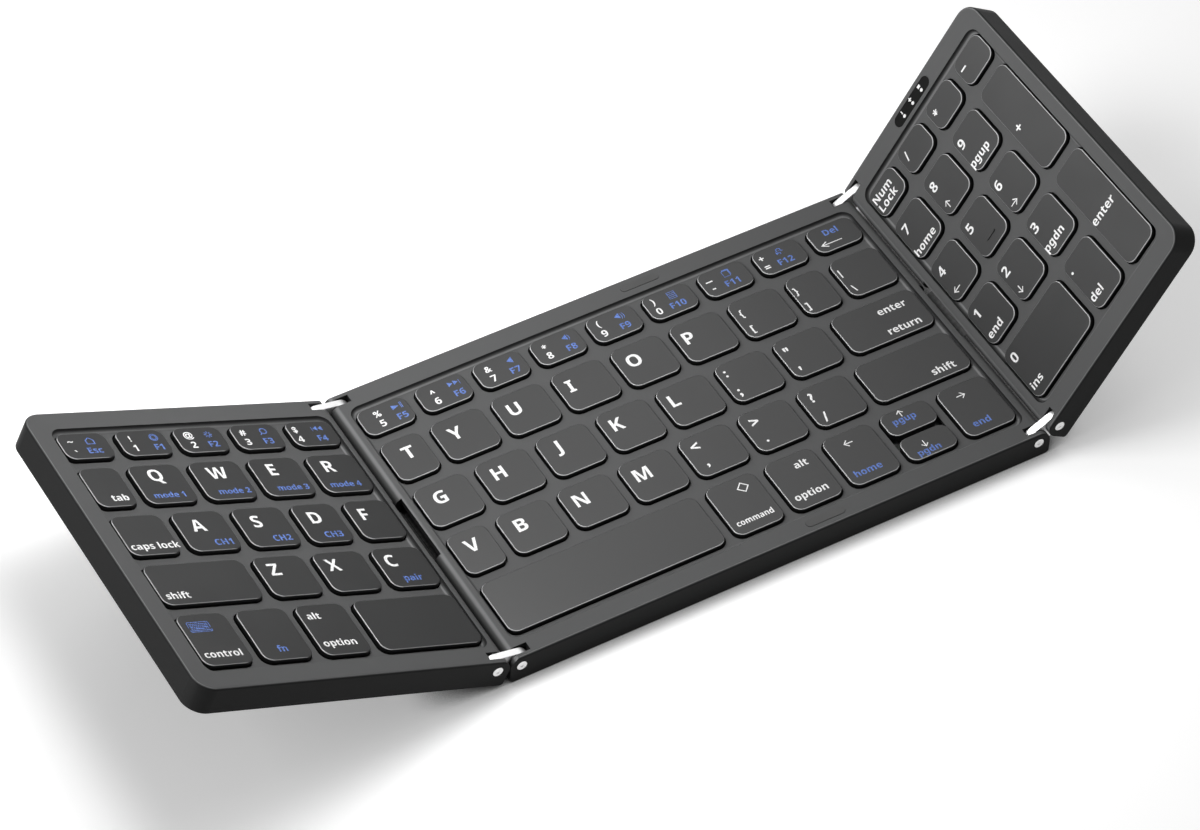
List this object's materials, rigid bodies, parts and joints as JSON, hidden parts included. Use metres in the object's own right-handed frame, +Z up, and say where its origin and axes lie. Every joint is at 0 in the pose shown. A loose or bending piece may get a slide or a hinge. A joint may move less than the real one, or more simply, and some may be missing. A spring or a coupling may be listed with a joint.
{
  "type": "folding keyboard",
  "caption": "Pocket keyboard in hinged flat panels, the side panels and number pad folding face down onto the middle panel on two-pin links.",
  "frame": {"origin": "On the plane of the middle panel's feet, at the middle of that panel between its two fold pins.", "axes": "+X to the user's right along the rows, +Y to the rear, +Z up out of the keys of the middle panel."},
  "size_m": [0.2893, 0.1014, 0.0637],
  "materials": {
    "case": "fine matte texture",
    "cover": "fine matte texture",
    "key": "smooth matte",
    "steel": "brushed",
    "bright_steel": "polished",
    "membrane": "clear film, printed",
    "dome": "silicone rubber",
    "frame": "natural acetal",
    "foot": "soft rubber",
    "screw": "black zinc",
    "ribbon": "black polyimide film",
    "bumper": "soft rubber",
    "battery": "foil pouch",
    "board": "solder mask",
    "socket": "drawn shell",
    "light": "light guide",
    "window": "dark window"
  },
  "bodies": {
    "middle_panel": {"middle_top_case": "case", "middle_bottom_cover": "cover", "middle_support_plate": "steel", "middle_membrane": "membrane", "middle_rubber_domes": "dome", "middle_scissor_frames": "frame", "middle_feet": "foot", "middle_screws": "screw", "middle_hinge_pins": "bright_steel", "middle_ribbon_tails": "ribbon", "middle_bumpers": "bumper", "battery": "battery"},
    "left_link": {"left_hinge_links": "bright_steel", "left_ribbon_span": "ribbon"},
    "left_panel": {"left_top_case": "case", "left_bottom_cover": "cover", "left_support_plate": "steel", "left_membrane": "membrane", "left_rubber_domes": "dome", "left_scissor_frames": "frame", "left_feet": "foot", "left_screws": "screw", "left_hinge_pins": "bright_steel", "left_ribbon_tail": "ribbon"},
    "right_link": {"right_hinge_links": "bright_steel", "right_ribbon_span": "ribbon"},
    "right_panel": {"right_top_case": "case", "right_bottom_cover": "cover", "right_support_plate": "steel", "right_membrane": "membrane", "right_rubber_domes": "dome", "right_scissor_frames": "frame", "right_feet": "foot", "right_screws": "screw", "right_hinge_pins": "bright_steel", "right_ribbon_tail": "ribbon", "controller_board": "board", "charging_socket": "socket", "indicator_lights": "light", "light_window": "window"},
    "middle_keys_row_1_body": {"middle_keys_row_1": "key"},
    "middle_keys_row_2_body": {"middle_keys_row_2": "key"},
    "middle_keys_row_3_body": {"middle_keys_row_3": "key"},
    "middle_keys_row_4_body": {"middle_keys_row_4": "key"},
    "middle_keys_row_5_body": {"middle_keys_row_5": "key"},
    "right_space_bar_body": {"right_space_bar": "key"},
    "left_keys_row_1_body": {"left_keys_row_1": "key"},
    "left_keys_row_2_body": {"left_keys_row_2": "key"},
    "left_keys_row_3_body": {"left_keys_row_3": "key"},
    "left_keys_row_4_body": {"left_keys_row_4": "key"},
    "left_keys_row_5_body": {"left_keys_row_5": "key"},
    "left_space_bar_body": {"left_space_bar": "key"},
    "pad_keys_row_1_body": {"pad_keys_row_1": "key"},
    "pad_keys_row_2_body": {"pad_keys_row_2": "key"},
    "pad_keys_row_3_body": {"pad_keys_row_3": "key"},
    "pad_keys_row_4_body": {"pad_keys_row_4": "key"},
    "pad_keys_row_5_body": {"pad_keys_row_5": "key"},
    "pad_plus_key_body": {"pad_plus_key": "key"},
    "pad_enter_key_body": {"pad_enter_key": "key"}
  },
  "joints": [
    {"name": "left_link_fold", "type": "hinge", "parent": "middle_panel", "child": "left_link", "pos_m": [-0.0772, 0, 0.0051], "axis": [0, 1, 0], "range_deg": [-12.4, 77.6]},
    {"name": "left_panel_fold", "type": "hinge", "parent": "left_link", "child": "left_panel", "pos_m": [-0.08404, 0, 0.0066], "axis": [0, 1, 0], "range_deg": [-12.4, 77.6]},
    {"name": "right_link_fold", "type": "hinge", "parent": "middle_panel", "child": "right_link", "pos_m": [0.0772, 0, 0.0051], "axis": [0, -1, 0], "range_deg": [-28.8, 61.2]},
    {"name": "right_panel_fold", "type": "hinge", "parent": "right_link", "child": "right_panel", "pos_m": [0.08333, 0, 0.00847], "axis": [0, -1, 0], "range_deg": [-28.8, 61.2]},
    {"name": "middle_keys_row_1_press", "type": "slide", "parent": "middle_panel", "child": "middle_keys_row_1_body", "axis": [0, 0, 1], "range_m": [-0.0012, 0], "stiffness_N_per_m": 400, "springref_m": 0.0006, "deforming": ["middle_rubber_domes", "middle_scissor_frames"]},
    {"name": "middle_keys_row_2_press", "type": "slide", "parent": "middle_panel", "child": "middle_keys_row_2_body", "axis": [0, 0, 1], "range_m": [-0.0012, 0], "stiffness_N_per_m": 400, "springref_m": 0.0006, "deforming": ["middle_rubber_domes", "middle_scissor_frames"]},
    {"name": "middle_keys_row_3_press", "type": "slide", "parent": "middle_panel", "child": "middle_keys_row_3_body", "axis": [0, 0, 1], "range_m": [-0.0012, 0], "stiffness_N_per_m": 400, "springref_m": 0.0006, "deforming": ["middle_rubber_domes", "middle_scissor_frames"]},
    {"name": "middle_keys_row_4_press", "type": "slide", "parent": "middle_panel", "child": "middle_keys_row_4_body", "axis": [0, 0, 1], "range_m": [-0.0012, 0], "stiffness_N_per_m": 400, "springref_m": 0.0006, "deforming": ["middle_rubber_domes", "middle_scissor_frames"]},
    {"name": "middle_keys_row_5_press", "type": "slide", "parent": "middle_panel", "child": "middle_keys_row_5_body", "axis": [0, 0, 1], "range_m": [-0.0012, 0], "stiffness_N_per_m": 400, "springref_m": 0.0006, "deforming": ["middle_rubber_domes", "middle_scissor_frames"]},
    {"name": "right_space_bar_press", "type": "slide", "parent": "middle_panel", "child": "right_space_bar_body", "axis": [0, 0, 1], "range_m": [-0.0012, 0], "stiffness_N_per_m": 400, "springref_m": 0.0006, "deforming": ["middle_rubber_domes", "middle_scissor_frames"]},
    {"name": "left_keys_row_1_press", "type": "slide", "parent": "left_panel", "child": "left_keys_row_1_body", "axis": [0.4195, 0, 0.9078], "range_m": [-0.0012, 0], "stiffness_N_per_m": 400, "springref_m": 0.0006, "deforming": ["left_rubber_domes", "left_scissor_frames"]},
    {"name": "left_keys_row_2_press", "type": "slide", "parent": "left_panel", "child": "left_keys_row_2_body", "axis": [0.4195, 0, 0.9078], "range_m": [-0.0012, 0], "stiffness_N_per_m": 400, "springref_m": 0.0006, "deforming": ["left_rubber_domes", "left_scissor_frames"]},
    {"name": "left_keys_row_3_press", "type": "slide", "parent": "left_panel", "child": "left_keys_row_3_body", "axis": [0.4195, 0, 0.9078], "range_m": [-0.0012, 0], "stiffness_N_per_m": 400, "springref_m": 0.0006, "deforming": ["left_rubber_domes", "left_scissor_frames"]},
    {"name": "left_keys_row_4_press", "type": "slide", "parent": "left_panel", "child": "left_keys_row_4_body", "axis": [0.4195, 0, 0.9078], "range_m": [-0.0012, 0], "stiffness_N_per_m": 400, "springref_m": 0.0006, "deforming": ["left_rubber_domes", "left_scissor_frames"]},
    {"name": "left_keys_row_5_press", "type": "slide", "parent": "left_panel", "child": "left_keys_row_5_body", "axis": [0.4195, 0, 0.9078], "range_m": [-0.0012, 0], "stiffness_N_per_m": 400, "springref_m": 0.0006, "deforming": ["left_rubber_domes", "left_scissor_frames"]},
    {"name": "left_space_bar_press", "type": "slide", "parent": "left_panel", "child": "left_space_bar_body", "axis": [0.4195, 0, 0.9078], "range_m": [-0.0012, 0], "stiffness_N_per_m": 400, "springref_m": 0.0006, "deforming": ["left_rubber_domes", "left_scissor_frames"]},
    {"name": "pad_keys_row_1_press", "type": "slide", "parent": "right_panel", "child": "pad_keys_row_1_body", "axis": [-0.8443, 0, 0.5358], "range_m": [-0.0012, 0], "stiffness_N_per_m": 400, "springref_m": 0.0006, "deforming": ["right_rubber_domes", "right_scissor_frames"]},
    {"name": "pad_keys_row_2_press", "type": "slide", "parent": "right_panel", "child": "pad_keys_row_2_body", "axis": [-0.8443, 0, 0.5358], "range_m": [-0.0012, 0], "stiffness_N_per_m": 400, "springref_m": 0.0006, "deforming": ["right_rubber_domes", "right_scissor_frames"]},
    {"name": "pad_keys_row_3_press", "type": "slide", "parent": "right_panel", "child": "pad_keys_row_3_body", "axis": [-0.8443, 0, 0.5358], "range_m": [-0.0012, 0], "stiffness_N_per_m": 400, "springref_m": 0.0006, "deforming": ["right_rubber_domes", "right_scissor_frames"]},
    {"name": "pad_keys_row_4_press", "type": "slide", "parent": "right_panel", "child": "pad_keys_row_4_body", "axis": [-0.8443, 0, 0.5358], "range_m": [-0.0012, 0], "stiffness_N_per_m": 400, "springref_m": 0.0006, "deforming": ["right_rubber_domes", "right_scissor_frames"]},
    {"name": "pad_keys_row_5_press", "type": "slide", "parent": "right_panel", "child": "pad_keys_row_5_body", "axis": [-0.8443, 0, 0.5358], "range_m": [-0.0012, 0], "stiffness_N_per_m": 400, "springref_m": 0.0006, "deforming": ["right_rubber_domes", "right_scissor_frames"]},
    {"name": "pad_plus_key_press", "type": "slide", "parent": "right_panel", "child": "pad_plus_key_body", "axis": [-0.8443, 0, 0.5358], "range_m": [-0.0012, 0], "stiffness_N_per_m": 400, "springref_m": 0.0006, "deforming": ["right_rubber_domes", "right_scissor_frames"]},
    {"name": "pad_enter_key_press", "type": "slide", "parent": "right_panel", "child": "pad_enter_key_body", "axis": [-0.8443, 0, 0.5358], "range_m": [-0.0012, 0], "stiffness_N_per_m": 400, "springref_m": 0.0006, "deforming": ["right_rubber_domes", "right_scissor_frames"]}
  ],
  "couplings": [
    {"joint": "left_panel_fold", "follows": "left_link_fold", "ratio": 1},
    {"joint": "right_panel_fold", "follows": "right_link_fold", "ratio": 1}
  ]
}
